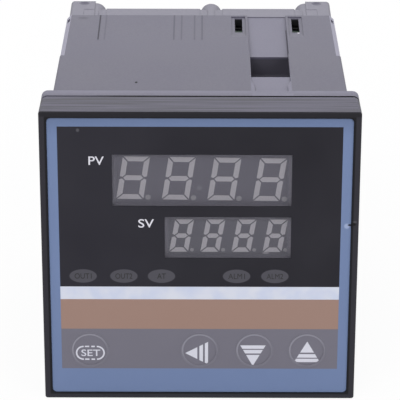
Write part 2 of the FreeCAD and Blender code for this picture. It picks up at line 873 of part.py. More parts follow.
def make_terminal_block():
    plug_side = cavity_side(case_length) - 2 * plug_play
    plug = plate(plug_side, plug_side, cavity_corner, (block_front, case_length + weld))
    base = plate(base_side, base_side, block_corner, (case_length, base_rear))
    middle = box((-bay_inner_x, bay_inner_x), (base_rear - weld, base_rear + middle_rise),
                 centred(0.0, bay_count * bay_pitch + barrier_thick))
    notches = boss_notches()
    base = cut_all(base, notches + [upside_down(notch) for notch in notches])
    pad_place = cavity_side(case_length) / 2 - pad_inset
    pads = [rod(pad_radius, (rear_board_y + board_thick, block_front), x, z)
            for x in (-pad_place, pad_place) for z in (-pad_place, pad_place)]
    top = block_bosses() + corner_posts()
    ribs = barriers()
    extras = top + [upside_down(shape) for shape in top] + ribs + [turned_over(rib) for rib in ribs]
    block = fuse_all([plug, base, middle] + pads + extras)
    label = box(centred(0.0, middle_label[0]),
                (base_rear + middle_rise - label_recess, base_rear + middle_rise),
                centred(0.0, middle_label[1]))
    cuts = [label] + boss_holes() + [upside_down(hole) for hole in boss_holes()]
    for cut in bay_cuts():
        cuts += [cut, turned_over(cut)]
    return cut_all(block, cuts)


def each_terminal(make):
    """One solid for every terminal of both columns."""
    return Part.makeCompound([make(side, z) for side in (-1, 1) for z in terminal_rows])


def make_strip(side, z):
    x0 = bay_inner_x + strip_inset
    bar = box((x0, x0 + strip_length), (bay_face, bay_face + strip_thick), centred(z, strip_width))
    leg = box((x0, x0 + strip_thick), (rear_board_y - strip_show, bay_face), centred(z, strip_leg_width))
    hole = rod(terminal_radius + terminal_play, (bay_face, bay_face + strip_thick), terminal_x, z)
    strip = fuse_all([bar, leg]).cut(hole)
    return strip if side > 0 else turned_over(strip)


def make_clamp(side, z):
    y = (bay_face + strip_thick, bay_face + strip_thick + clamp_thick)
    clamp = box(centred(side * terminal_x, clamp_side), y, centred(z, clamp_side))
    return clamp.cut(rod(terminal_radius + terminal_play, y, side * terminal_x, z))


def make_terminal_screw(side, z):
    seat = bay_face + strip_thick + clamp_thick
    x = side * terminal_x
    head = rod(terminal_head_radius, (seat, seat + terminal_head), x, z)
    shank = rod(terminal_radius, (bay_face - terminal_reach, seat), x, z)
    y = (seat + terminal_head - slot_cross[2], seat + terminal_head)
    cross = [box(centred(x, slot_cross[0]), y, centred(z, slot_cross[1])),
             box(centred(x, slot_cross[1]), y, centred(z, slot_cross[0]))]
    return cut_all(fuse_all([head, shank]), cross)


# ---- the whole controller ----

def build_nodes():
    nodes = {
        "case_shell": make_case_shell(),
        "front_frame": make_front_frame(),
        "overlay_film": make_overlay_film(),
        "display_board": make_display_board(),
        "board_screws": make_board_screws(),
        "power_board": make_upright_board(power_board_x),
        "io_board": make_upright_board(io_board_x),
        "rear_board": make_rear_board(),
        "front_power_header": make_front_header(power_board_x),
        "front_io_header": make_front_header(io_board_x),
        "rear_power_header": make_rear_header(power_board_x),
        "rear_io_header": make_rear_header(io_board_x),
        "transformer_core": make_transformer_core(),
        "transformer_winding": make_transformer_winding(),
        "bulk_capacitor": make_can(bulk_cap, front_row_y),
        "output_capacitor": make_can(output_cap, rear_row_y),
        "varistor": make_varistor(),
        "bridge_rectifier": make_block(rectifier, power_board_x, front_row_y),
        "glass_fuse": make_fuse(),
        "main_relay": make_block(main_relay, io_board_x, relay_y, relay_corner),
        "alarm_relay": make_block(alarm_relay, io_board_x, relay_y, relay_corner),
        "signal_converter": make_block(converter, io_board_x, converter_y),
        "microcontroller": make_micro(),
        "crystal": make_crystal(),
        "terminal_block": make_terminal_block(),
        "terminal_strips": each_terminal(make_strip),
        "terminal_clamps": each_terminal(make_clamp),
        "terminal_screws": each_terminal(make_terminal_screw),
    }
    for name, unit in displays.items():
        nodes[name + "_window"] = make_pane(unit)
        nodes[name + "_display_shell"] = make_display_shell(unit)
        nodes[name + "_segments"] = make_segments(unit)
    for name, x in lamp_xs.items():
        nodes[name + "_lamp"] = make_lamp(x)
    for name, x in key_xs.items():
        nodes[name + "_key"] = make_key(x)
        nodes[name + "_stem"] = make_stem(x)
        nodes[name + "_switch"] = make_switch(x)
    return nodes


os.makedirs("parts", exist_ok=True)
for node_name, node_shape in build_nodes().items():
    node_shape.exportStep(os.path.join("parts", node_name + ".step"))
    print(node_name, "solids", len(node_shape.Solids), "volume", round(node_shape.Volume, 1),
          "valid", node_shape.isValid())
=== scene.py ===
import math

import bmesh
import bpy
from mathutils import Matrix, Vector


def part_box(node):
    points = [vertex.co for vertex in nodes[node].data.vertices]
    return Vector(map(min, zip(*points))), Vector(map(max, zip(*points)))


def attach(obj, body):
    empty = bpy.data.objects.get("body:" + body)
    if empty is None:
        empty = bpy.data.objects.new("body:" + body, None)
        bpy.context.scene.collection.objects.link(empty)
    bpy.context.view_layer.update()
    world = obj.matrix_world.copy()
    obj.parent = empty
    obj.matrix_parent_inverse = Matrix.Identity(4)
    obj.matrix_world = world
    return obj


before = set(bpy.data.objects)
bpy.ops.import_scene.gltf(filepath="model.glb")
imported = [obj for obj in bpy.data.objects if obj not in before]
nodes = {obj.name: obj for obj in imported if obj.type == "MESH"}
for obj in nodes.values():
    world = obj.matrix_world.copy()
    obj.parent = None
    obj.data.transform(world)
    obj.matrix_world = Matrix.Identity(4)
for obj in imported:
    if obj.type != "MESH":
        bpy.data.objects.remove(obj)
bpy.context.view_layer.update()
mm = 0.001
cornerSamples = 6  # rays that round a corner in the light
spots = {"roughness": 0.7, "specular": 0.1}  # how dull the marks are that are laid over a finish


def ink(red, green, blue):
    # a colour as it is picked on a screen, 0 to 255, turned into the linear values that shaders take
    shares = [part / 255 for part in (red, green, blue)]
    return [s / 12.92 if s < 0.04045 else ((s + 0.055) / 1.055) ** 2.4 for s in shares] + [1]


class Socket:
    # a node's output that takes part in Python sums, which add Math nodes
    def __init__(self, finish, link):
        self.finish = finish
        self.link = link

    def __add__(self, other):
        return self.finish.maths("ADD", self, other)

    def __radd__(self, other):
        return self.finish.maths("ADD", other, self)

    def __sub__(self, other):
        return self.finish.maths("SUBTRACT", self, other)

    def __rsub__(self, other):
        return self.finish.maths("SUBTRACT", other, self)

    def __mul__(self, other):
        return self.finish.maths("MULTIPLY", self, other)

    def __rmul__(self, other):
        return self.finish.maths("MULTIPLY", other, self)

    def __abs__(self):
        return self.finish.maths("ABSOLUTE", self)


class Finish:
    # one node material; place, x, y and z are millimetres in the part's own frame
    def __init__(self, name, **steady):
        self.material = bpy.data.materials.new(name)
        self.material.use_nodes = True
        self.tree = self.material.node_tree
        self.tree.nodes.clear()
        self.output = self.add("OutputMaterial")
        self.shader = self.add("BsdfPrincipled", sockets=steady)
        self.surface = self.shader
        self.join(self.surface, self.output.inputs["Surface"])
        where = self.add("TexCoord", out="Object")
        self.place = self.add("VectorMath", {"operation": "SCALE"}, {0: where, "Scale": 1 / mm})
        parts = self.add("SeparateXYZ", sockets={0: self.place}).link.node
        self.x, self.y, self.z = (Socket(self, out) for out in parts.outputs)

    def set(self, socket, value):
        self.shader.link.node.inputs[socket].default_value = value

    def join(self, source, socket):
        self.tree.links.new(source.link, socket)

    def add(self, kind, settings=None, sockets=None, out=0):
        node = self.tree.nodes.new("ShaderNode" + kind)
        for key, value in (settings or {}).items():
            setattr(node, key, value)
        for key, value in (sockets or {}).items():
            if isinstance(value, Socket):
                self.join(value, node.inputs[key])
            else:
                node.inputs[key].default_value = value
        return Socket(self, node.outputs[out]) if node.outputs else node

    def maths(self, operation, *values):
        return self.add("Math", {"operation": operation}, dict(enumerate(values)))

    def feed(self, **links):
        # names are the shader's sockets with their spaces left out
        for socket in self.shader.link.node.inputs:
            if socket.name.replace(" ", "") in links:
                self.join(links[socket.name.replace(" ", "")], socket)

    def mark(self, share, tone):
        # a dull spot of another colour laid over the finish
        spot = self.add("BsdfPrincipled", sockets={"Base Color": tone, "Roughness": spots["roughness"],
                                                   "Specular IOR Level": spots["specular"]})
        self.surface = self.add("MixShader", sockets={0: share, 1: self.surface, 2: spot})
        self.join(self.surface, self.output.inputs["Surface"])

    def blend(self, share, first, second):
        return self.add("Mix", {"data_type": "RGBA"}, {0: share, 6: first, 7: second}, out=2)

    def rise(self, value, edge, soft=0.08):
        # 0 below the edge, 1 above it, with a soft step
        limits = {"Value": value, "From Min": edge - soft / 2, "From Max": edge + soft / 2}
        return self.add("MapRange", {"interpolation_type": "SMOOTHSTEP"}, limits)

    def between(self, value, low, high, soft=0.08):
        return self.rise(value, low, soft) * (1 - self.rise(value, high, soft))

    def oval(self, centre, radii, soft):
        # 1 inside an ellipse; an axis with no radius is left out
        shares = [1 / r if r else 0 for r in radii]
        offset = self.add("VectorMath", {"operation": "SUBTRACT"}, {0: self.place, 1: centre})
        scaled = self.add("VectorMath", {"operation": "MULTIPLY"}, {0: offset, 1: shares})
        reach = self.add("VectorMath", {"operation": "LENGTH"}, {0: scaled}, out="Value")
        return 1 - self.rise(reach, 1, soft)

    def noise(self, scale, detail, stretch=(1, 1, 1)):
        # scale is the number of cells in a millimetre
        place = self.add("VectorMath", {"operation": "MULTIPLY"}, {0: self.place, 1: stretch})
        return self.add("TexNoise", sockets={"Vector": place, "Scale": scale, "Detail": detail})

    def bump(self, height, depth, strength, edge=0.0):
        # in mm: depth is the height's full travel, and edge the radius that rounds corners in the light
        sockets = {"Height": height, "Distance": depth * mm, "Strength": strength}
        if edge:
            sockets["Normal"] = self.add("Bevel", {"samples": cornerSamples}, {"Radius": edge * mm})
        self.feed(Normal=self.add("Bump", sockets=sockets))


# In the settings below, lengths and places are in millimetres, and noise scales in cells a millimetre.
# A soft or a run is the width over which one tone goes over into the next. An oval's axis with no radius
# is left out.
noiseMiddle = 0.5

# black moulding, greyed on what looks up by dust and a painted sheen
case = {
    "tone": ink(58, 57, 64), "mottle": ink(64, 63, 71), "cloudScale": 0.06, "specular": 0.35,
    "roughness": 0.36, "grainRoughness": 0.2, "cloudRoughness": 0.08,
    "grainScale": 2.6, "grainShare": 0.4, "flowScale": 0.25, "flowShape": (0.15, 1, 1), "flowShare": 0.25,
    "grainDepth": 0.02, "grainStrength": 0.8, "edge": 0.25,
    # painted shade on the inside, behind the skin of the walls
    "inside": ink(26, 26, 29), "insideFrom": 40, "insideSoft": 2, "skin": 32.7, "skinSoft": 0.12,
    "skinX": 32.2, "skinSoftX": 0.2, "channel": (11.2, 21.6), "channelSoft": 0.1,
    # dust and a painted sheen on all that looks up
    "dust": ink(92, 90, 107), "frontDust": ink(87, 85, 102), "dustFrom": 31.6, "dustSoft": 0.6,
    "dustMiddle": 30, "dustRun": 30, "dustLeast": 0.7, "dustCloud": 0.3,
    # the pocket under the bracket window, finely ribbed, its tone painted darker as shade
    "guardX": (10.5, 22.3), "guardY": (14.9, 33.2), "guardZ": (20, 31.4), "guardTone": ink(54, 53, 61),
    "ribTone": ink(76, 74, 85), "ribScale": 0.9, "ribShape": (0.01, 1, 0.01), "ribSoft": 0.2,
    # a painted highlight on the bevelled long edges; bevelSum is x and z together, and bevelDraft how fast it
    # falls towards the rear
    "bevelTone": ink(154, 152, 170), "bevelSum": 66.5, "bevelDraft": 0.020944, "bevelSoft": 0.12,
    "bevelFrom": 29.4, "bevelEndSoft": 0.2,
    # the seats in the bracket channel and the flange, painted paler where they look up
    "seatTone": ink(108, 106, 124), "seat": (11.7, 21.1), "seatSoft": 0.4, "ledgeFront": 16.2,
    "seatRear": 32.0, "seatEndSoft": 0.2, "seatShare": 0.95,
    "flangeRear": 0.1, "flangeSoft": 0.3, "flangeMiddle": -1.9, "flangeRun": 2.4, "flangeLeast": 0.35,
    # painted shade in the seam to the front frame, and on the shaded wall of the bracket channel
    "seamTone": ink(8, 7, 11), "seam": -3.14, "seamSoft": 0.1, "seamTop": 33, "seamTopSoft": 0.4,
    "seamX": -21.5, "seamRun": 9, "seamLeast": 0.25,
    "wallTone": ink(22, 21, 26), "wallX": (20.9, 21.7), "wallY": (12.5, 50), "wallZ": (31.5, 33.15),
    "wallSoft": 0.2, "wallEndSoft": 1.0, "wallShare": 0.55,
    # painted shade in the sink lines where the board guides stand behind the wall: each x with its strength
    "lines": {-24.82: 0.75, -23.3: 0.2, -6.45: 0.38, -4.6: 0.26, -1.42: 0.28, 0.42: 0.36},
    "lineHalf": 0.17, "lineSoft": 0.25, "lineFrom": 40.5, "lineEndSoft": 1.5, "lineTone": ink(30, 29, 36),
    # single marks: painted shade in a shallow dimple, a dark speck of dirt, and a glint at the right slot
    "sink": (-29.1, 56.5, 0), "sinkRadii": (1.2, 0.8, 0), "sinkSoft": 1.0, "sinkShare": 0.22,
    "speck": (-14.8, 11.1, 0), "speckRadii": (0.3, 0.55, 0), "speckSoft": 0.5, "speckTone": ink(14, 13, 18),
    "glint": (24.0, 46.6, 0), "glintRadii": (0.3, 0.55, 0), "glintSoft": 0.4, "glintTone": ink(235, 233, 240),
}


def casePlastic():
    f = Finish("finePlastic")
    f.set("Specular IOR Level", case["specular"])
    cloudy = f.noise(case["cloudScale"], detail=3)
    grain = f.noise(case["grainScale"], detail=3)
    flow = f.noise(case["flowScale"], 2, case["flowShape"])
    tone = f.blend(cloudy, case["tone"], case["mottle"])
    # painted shade on the inner faces behind the skin of the walls, left out in the bracket channel
    depth = f.rise(f.y, case["insideFrom"], case["insideSoft"])
    depth = depth * (1 - f.rise(abs(f.z), case["skin"], case["skinSoft"]))
    depth = depth * (1 - f.rise(abs(f.x), case["skinX"], case["skinSoftX"]))
    depth = depth * (1 - f.between(f.x, *case["channel"], case["channelSoft"]))
    tone = f.blend(depth, tone, case["inside"])
    # dust and a painted sheen on all that looks up, lighter towards the rear
    dustSheenTop = f.rise(f.z, case["dustFrom"], case["dustSoft"]) * (1 - depth)
    dust = f.blend(f.rise(f.y, case["dustMiddle"], case["dustRun"]), case["frontDust"], case["dust"])
    tone = f.blend(dustSheenTop * (case["dustLeast"] + cloudy * case["dustCloud"]), tone, dust)
    # the pocket under the window, painted darker as shade, with paler ribs
    guard = f.between(f.x, *case["guardX"]) * f.between(f.y, *case["guardY"])
    guard = guard * f.between(f.z, *case["guardZ"])
    ribs = f.rise(f.noise(case["ribScale"], 0, case["ribShape"]), noiseMiddle, case["ribSoft"])
    tone = f.blend(guard, tone, f.blend(ribs, case["guardTone"], case["ribTone"]))
    # a painted highlight on the bevelled long edges
    bevel = f.rise(abs(f.x) + f.z + f.y * case["bevelDraft"], case["bevelSum"], case["bevelSoft"])
    bevel = bevel * f.rise(f.y, case["bevelFrom"], case["bevelEndSoft"])
    tone = f.blend(bevel, tone, case["bevelTone"])
    # the seats in the bracket channel and the flange, painted paler where they look up
    seat = f.between(f.x, *case["seat"], case["seatSoft"])
    seat = seat * (1 - f.between(f.y, case["ledgeFront"], case["seatRear"], case["seatEndSoft"]))
    flange = 1 - f.rise(f.y, case["flangeRear"], case["flangeSoft"])
    fade = f.rise(f.y, case["flangeMiddle"], case["flangeRun"])
    flange = flange * (case["flangeLeast"] + fade * (1 - case["flangeLeast"]))
    tone = f.blend(dustSheenTop * (seat + flange * (1 - seat)) * case["seatShare"], tone, case["seatTone"])
    roughness = case["roughness"] + grain * case["grainRoughness"] + cloudy * case["cloudRoughness"]
    f.feed(BaseColor=tone, Roughness=roughness)
    f.bump(grain * case["grainShare"] + flow * case["flowShare"], case["grainDepth"], case["grainStrength"],
           case["edge"])
    # painted shade in the seam to the front frame, fainter towards the left
    seam = 1 - f.rise(f.y, case["seam"], case["seamSoft"])
    seam = seam * f.rise(f.z, case["seamTop"], case["seamTopSoft"])
    fade = f.rise(f.x, case["seamX"], case["seamRun"])
    f.mark(seam * (case["seamLeast"] + fade * (1 - case["seamLeast"])), case["seamTone"])
    # painted shade on the right wall of the bracket channel
    wall = f.between(f.x, *case["wallX"], case["wallSoft"])
    wall = wall * f.between(f.y, *case["wallY"], case["wallEndSoft"])
    wall = wall * f.between(f.z, *case["wallZ"], case["wallSoft"])
    f.mark(wall * case["wallShare"], case["wallTone"])
    # painted shade in the sink lines over the board guides
    lines = 0
    for lineX, strength in case["lines"].items():
        line = f.between(f.x, lineX - case["lineHalf"], lineX + case["lineHalf"], case["lineSoft"])
        lines = lines + line * strength
    f.mark(lines * f.rise(f.y, case["lineFrom"], case["lineEndSoft"]) * dustSheenTop, case["lineTone"])
    # painted shade in a shallow dimple by the rear left corner
    sink = f.oval(case["sink"], case["sinkRadii"], case["sinkSoft"])
    f.mark(sink * dustSheenTop * case["sinkShare"], case["lineTone"])
    f.mark(f.oval(case["speck"], case["speckRadii"], case["speckSoft"]) * dustSheenTop, case["speckTone"])
    f.mark(f.oval(case["glint"], case["glintRadii"], case["glintSoft"]) * dustSheenTop, case["glintTone"])
    return f.material


# the front frame: dull lips, the top lip painted darker as shade, a darker line of painted shade along the
# film, and a top painted paler as sheen and streaked along its moulding
bezel = {
    "tone": ink(39, 38, 45), "mottle": ink(43, 42, 49), "cloudScale": 0.08, "specular": 0.2,
    "roughness": 0.36, "grainRoughness": 0.15, "streakRoughness": 0.12,
    "grainScale": 3.0, "grainShare": 0.5, "grainDepth": 0.012, "grainStrength": 0.7, "edge": 0.12,
    # the top painted paler as sheen, streaked along the moulding
    "streak": ink(86, 84, 100), "streakScale": 0.9, "streakShape": (0.04, 1.3, 0.5), "streakSoft": 0.3,
    "streakLeast": 0.25, "streakShare": 0.6, "topFrom": 35.6, "topSoft": 0.3, "topBehind": -12.9,
    "behindSoft": 0.2,
    # the top lip painted darker as shade
    "brow": ink(27, 26, 32), "browSoft": 0.2,
    # painted shade in the recess along the film's edges
    "inner": ink(14, 14, 20), "innerX": 34.75, "innerZ": 34.85, "innerSoft": 0.3,
    # a dent in the right lip, with a paler rim above it
    "dent": (34.75, 0, 8.75), "dentRadii": (0.6, 0, 0.36), "dentSoft": 0.6, "dentTone": ink(6, 6, 8),
    "dentRim": (35.1, 0, 9.3), "rimRadii": (0.4, 0, 0.3), "rimSoft": 0.8, "rimShare": 0.4,
    "rimTone": ink(96, 94, 100),
}


def framePlastic():
    f = Finish("bezelPlastic")
    f.set("Specular IOR Level", bezel["specular"])
    grain = f.noise(bezel["grainScale"], detail=3)
    cloudy = f.noise(bezel["cloudScale"], detail=3)
    streaks = f.noise(bezel["streakScale"], 2, bezel["streakShape"])
    upper = f.rise(f.z, bezel["topFrom"], bezel["topSoft"])
    upper = upper * f.rise(f.y, bezel["topBehind"], bezel["behindSoft"])
    tone = f.blend(cloudy, bezel["tone"], bezel["mottle"])
    # a painted sheen on the top, stronger along the streaks of the moulding
    streakedSheen = f.rise(streaks, noiseMiddle, bezel["streakSoft"])
    streakedSheen = bezel["streakLeast"] + streakedSheen * (1 - bezel["streakLeast"])
    tone = f.blend(upper * streakedSheen, tone, bezel["streak"])
    # the top lip painted darker as shade
    brow = f.rise(f.z, bezel["innerZ"], bezel["browSoft"])
    brow = brow * (1 - f.rise(f.y, bezel["topBehind"], bezel["behindSoft"]))
    tone = f.blend(brow, tone, bezel["brow"])
    # painted shade in the recess along the film's edges
    inner = 1 - f.rise(abs(f.x), bezel["innerX"], bezel["innerSoft"])
    inner = inner * (1 - f.rise(abs(f.z), bezel["innerZ"], bezel["innerSoft"]))
    tone = f.blend(inner, tone, bezel["inner"])
    dentRim = f.oval(bezel["dentRim"], bezel["rimRadii"], bezel["rimSoft"])
    tone = f.blend(dentRim * bezel["rimShare"], tone, bezel["rimTone"])
    tone = f.blend(f.oval(bezel["dent"], bezel["dentRadii"], bezel["dentSoft"]), tone, bezel["dentTone"])
    roughness = bezel["roughness"] + grain * bezel["grainRoughness"] + streaks * bezel["streakRoughness"]
    f.feed(BaseColor=tone, Roughness=roughness)
    height = grain * bezel["grainShare"] + streaks * bezel["streakShare"] * upper
    f.bump(height, bezel["grainDepth"], bezel["grainStrength"], bezel["edge"])
    return f.material


# the terminal block: smoother than the case, with the same dust and painted sheen on its top, and painted
# shade where it lies inside the case
block = {
    "tone": ink(52, 51, 57), "mottle": ink(60, 59, 66), "cloudScale": 0.12, "specular": 0.4,
    "dust": ink(106, 104, 120), "dustFrom": 30.5, "dustSoft": 1.5, "dustLeast": 0.85, "dustCloud": 0.15,
    "inside": ink(16, 16, 19), "caseRear": 58.6, "insideSoft": 0.2, "roughness": 0.34, "grainRoughness": 0.16,
    "grainScale": 2.4, "grainDepth": 0.015, "grainStrength": 0.7, "edge": 0.3,
}


def terminalPlastic():
    f = Finish("terminalPlastic")
    f.set("Specular IOR Level", block["specular"])
    cloudy = f.noise(block["cloudScale"], detail=3)
    grain = f.noise(block["grainScale"], detail=3)
    tone = f.blend(cloudy, block["tone"], block["mottle"])
    # dust and a painted sheen on the block's top
    dustSheenTop = f.rise(f.z, block["dustFrom"], block["dustSoft"])
    tone = f.blend(dustSheenTop * (block["dustLeast"] + cloudy * block["dustCloud"]), tone, block["dust"])
    # painted shade on the block where it lies inside the case
    tone = f.blend(f.rise(f.y, block["caseRear"], block["insideSoft"]), block["inside"], tone)
    f.feed(BaseColor=tone, Roughness=block["roughness"] + grain * block["grainRoughness"])
    f.bump(grain, block["grainDepth"], block["grainStrength"], block["edge"])
    return f.material


# small moulded pieces: a fine grain, a slow drift of tone and softly lit corners
plain = {
    "grainScale": 2.2, "grainDepth": 0.015, "grainStrength": 0.7, "edge": 0.15, "cloudScale": 0.12,
    "lighter": 1.25, "grainRoughness": 0.16,
}


def plainPlastic(name, tone, roughness, grainScale=plain["grainScale"], grainDepth=plain["grainDepth"],
                 edge=plain["edge"]):
    f = Finish(name)
    cloudy = f.noise(plain["cloudScale"], detail=3)
    grain = f.noise(grainScale, detail=3)
    lighter = [min(1, part * plain["lighter"]) for part in tone[:3]] + [1]
    f.feed(BaseColor=f.blend(cloudy, tone, lighter),
           Roughness=roughness - plain["grainRoughness"] / 2 + grain * plain["grainRoughness"])
    f.bump(grain, grainDepth, plain["grainStrength"], edge)
    return f.material


# plated or drawn metal: fine draw lines, a slow change of gloss and darker stains
metal = {
    "brush": (0.3, 3, 3), "brushScale": 3.0, "brushDepth": 0.01, "brushStrength": 0.5, "edge": 0.1,
    "stain": 0.25, "stainScale": 0.5, "smoother": 0.06, "stainRoughness": 0.1, "brushRoughness": 0.08,
}


def plainMetal(name, tone, roughness, brush=metal["brush"], stain=metal["stain"]):
    f = Finish(name, Metallic=1.0)
    lines = f.noise(metal["brushScale"], 2, brush)
    cloudy = f.noise(metal["stainScale"], detail=3)
    darker = [part * (1 - stain) for part in tone[:3]] + [1]
    stained = f.blend(cloudy, tone, darker)
    gloss = roughness - metal["smoother"] + cloudy * metal["stainRoughness"] + lines * metal["brushRoughness"]
    f.feed(BaseColor=stained, Roughness=gloss)
    f.bump(lines, metal["brushDepth"], metal["brushStrength"], metal["edge"])
    return f.material


# the printed film: the edges of its zones, its inks, painted shade at the top of the blue and on the right of
# the black, and small marks of use
film = {
    "side": 31.95, "blackTop": 32.37, "whiteTop": -7.18, "brownTop": -10.39, "greyTop": -17.99,
    "greyFoot": -28.29,
    "blue": ink(108, 125, 161), "blueTop": ink(97, 113, 146), "blueMiddle": 32, "blueRun": 6,
    "black": ink(38, 37, 44), "blackRight": ink(32, 31, 37), "blackMiddle": -8, "blackRun": 34,
    "white": ink(207, 210, 221), "shade": ink(193, 200, 220), "shadeScale": 0.22, "shadeSoft": 0.4,
    "brown": ink(150, 123, 112), "grey": ink(111, 109, 120), "oval": ink(74, 73, 80),
    "lampXs": (-26.67, -17.35, -8.75, 8.43, 17.18), "lampZ": -4.5, "lampRadii": (3.12, 0, 1.7),
    "lampSoft": 0.1,
    # each key is ringed by a painted highlight on its crease, strongest at its upper left
    "keyXs": (-25.4, 0.02, 12.66, 24.88), "keyZ": -23.45, "ring": (3.75, 4.12, 4.5), "ringSoft": 0.05,
    "ringTone": ink(178, 177, 188), "crestUp": 0.9, "crestAcross": 0.5, "crestRun": 7, "crestLeast": 0.03,
    "crestShare": 0.33, "outerShare": 0.1,
    "specular": 0.08, "roughness": 0.45, "velvetRoughness": 0.12, "velvetScale": 5.0, "velvetDepth": 0.006,
    "velvetStrength": 0.6, "edge": 0.08, "drift": ink(150, 150, 160), "driftScale": 0.05, "driftShare": 0.05,
    # a pressed pale spot near the right edge with a scratch beside it, and one pale smudge
    "halo": (33.3, 0, 8.15), "haloRadii": (0.6, 0, 0.62), "haloSoft": 0.7, "haloShare": 0.5,
    "haloTone": ink(176, 188, 218),
    "scratch": (34.0, 0, 8.42), "scratchRadii": (0.48, 0, 0.26), "scratchSoft": 0.8,
    "scratchTone": ink(22, 25, 42),
    "smudge": (-27.3, 0, 31.5), "smudgeRadii": (0.35, 0, 0.4), "smudgeSoft": 0.9, "smudgeShare": 0.3,
    "smudgeTone": ink(120, 120, 126),
}


def printedFilm():
    f = Finish("printedFilm")
    f.set("Specular IOR Level", film["specular"])
    velvet = f.noise(film["velvetScale"], detail=2)
    drift = f.noise(film["driftScale"], detail=2)
    panel = f.between(f.x, -film["side"], film["side"])
    panel = panel * f.between(f.z, film["greyFoot"], film["blackTop"])
    tone = f.blend(f.rise(f.z, film["greyTop"]), film["grey"], film["brown"])
    shade = f.rise(f.noise(film["shadeScale"], detail=2), noiseMiddle, film["shadeSoft"])
    white = f.blend(shade, film["white"], film["shade"])
    tone = f.blend(f.rise(f.z, film["brownTop"]), tone, white)
    # the black painted darker towards the right, as shade that offsets the side lamp's sheen
    black = f.blend(f.rise(f.x, film["blackMiddle"], film["blackRun"]), film["black"], film["blackRight"])
    tone = f.blend(f.rise(f.z, film["whiteTop"]), tone, black)
    for lampX in film["lampXs"]:
        lamp = f.oval((lampX, 0, film["lampZ"]), film["lampRadii"], film["lampSoft"])
        tone = f.blend(lamp, tone, film["oval"])
    # the blue painted darker towards the top as the shade of the frame's lip
    blue = f.blend(f.rise(f.z, film["blueMiddle"], film["blueRun"]), film["blue"], film["blueTop"])
    tone = f.blend(panel, blue, tone)
    for keyX in film["keyXs"]:
        inner, middle, outer = (f.oval((keyX, 0, film["keyZ"]), (radius, 0, radius), film["ringSoft"])
                                for radius in film["ring"])
        # a painted highlight on the crease round the key, strongest at its upper left, with a fainter ring
        # outside it
        crest = f.rise((f.z - film["keyZ"]) * film["crestUp"] - (f.x - keyX) * film["crestAcross"], 0,
                       film["crestRun"])
        creaseHighlight = middle * (1 - inner) * (film["crestLeast"] + crest * film["crestShare"])
        tone = f.blend(creaseHighlight, tone, film["ringTone"])
        tone = f.blend(outer * (1 - middle) * film["outerShare"], tone, film["ringTone"])
    halo = f.oval(film["halo"], film["haloRadii"], film["haloSoft"])
    tone = f.blend(halo * film["haloShare"], tone, film["haloTone"])
    scratch = f.oval(film["scratch"], film["scratchRadii"], film["scratchSoft"])
    tone = f.blend(scratch, tone, film["scratchTone"])
    smudge = f.oval(film["smudge"], film["smudgeRadii"], film["smudgeSoft"])
    tone = f.blend(smudge * film["smudgeShare"], tone, film["smudgeTone"])
    tone = f.blend(drift * film["driftShare"], tone, film["drift"])
    f.feed(BaseColor=tone,
           Roughness=film["roughness"] - film["velvetRoughness"] / 2 + velvet * film["velvetRoughness"])
    f.bump(velvet, film["velvetDepth"], film["velvetStrength"], film["edge"])
    return f.material


# the flat grey face of both displays, with a colon dot that isn't lit and a smear by the last small digit
face = {
    "tone": ink(106, 104, 115), "lower": ink(101, 100, 109), "split": 11.6, "specular": 0.2,
    "cloudTone": ink(120, 118, 130), "cloudScale": 0.12, "cloudShare": 0.2,
    "grainScale": 4.0, "grainDepth": 0.006, "grainStrength": 0.5, "roughness": 0.45, "grainRoughness": 0.12,
    # the rims lie in the shade of the film, so they are painted paler, as painted light that offsets that
    # shade
    "upperX": (-19.15, 20.05), "upperZ": (12.95, 25.0), "lowerX": (-7.35, 20.05), "lowerZ": (0.1, 9.7),
    "rim": 1.3, "rimTone": ink(140, 138, 150),
    "pale": ink(160, 157, 165), "dot": (-0.1, 0, 17.05), "dotRadii": (0.62, 0, 0.75), "dotSoft": 0.5,
    "dotShare": 0.16, "smear": (15.05, 0, 0.85), "smearRadii": (0.75, 0, 0.24), "smearSoft": 0.6,
    "smearShare": 0.8,
}


def displayFace():
    f = Finish("displayFace")
    f.set("Specular IOR Level", face["specular"])
    cloudy = f.noise(face["cloudScale"], detail=3)
    grain = f.noise(face["grainScale"], detail=2)
    tone = f.blend(f.rise(f.z, face["split"]), face["lower"], face["tone"])
    tone = f.blend(cloudy * face["cloudShare"], tone, face["cloudTone"])
    dot = f.oval(face["dot"], face["dotRadii"], face["dotSoft"])
    tone = f.blend(dot * face["dotShare"], tone, face["pale"])
    smear = f.oval(face["smear"], face["smearRadii"], face["smearSoft"])
    tone = f.blend(smear * face["smearShare"], tone, face["pale"])
    # the rims painted paler, as painted light against the film's shade
    upper = f.between(f.x, *face["upperX"], face["rim"]) * f.between(f.z, *face["upperZ"], face["rim"])
    lower = f.between(f.x, *face["lowerX"], face["rim"]) * f.between(f.z, *face["lowerZ"], face["rim"])
    tone = f.blend(f.maths("MAXIMUM", upper, lower), face["rimTone"], tone)
    f.feed(BaseColor=tone, Roughness=face["roughness"] + grain * face["grainRoughness"])
    f.bump(grain, face["grainDepth"], face["grainStrength"])
    return f.material


# the display segments: diffusing resin, dimmer in the decimal points, which stand in one row a display
segment = {
    "tone": ink(180, 177, 184), "shade": ink(168, 165, 172), "point": ink(144, 142, 149), "specular": 0.2,
    "grainScale": 1.2, "grainShare": 0.6, "grainDepth": 0.004, "grainStrength": 0.5, "roughness": 0.4,
    "grainRoughness": 0.1, "pointCount": 4, "pointSoft": 0.2,
    "pointRows": ({"start": (-11.72, 14.7), "step": (10.27, -0.13), "radius": 0.72},
                  {"start": (-1.79, 1.62), "step": (7.1, 0), "radius": 0.52}),
}


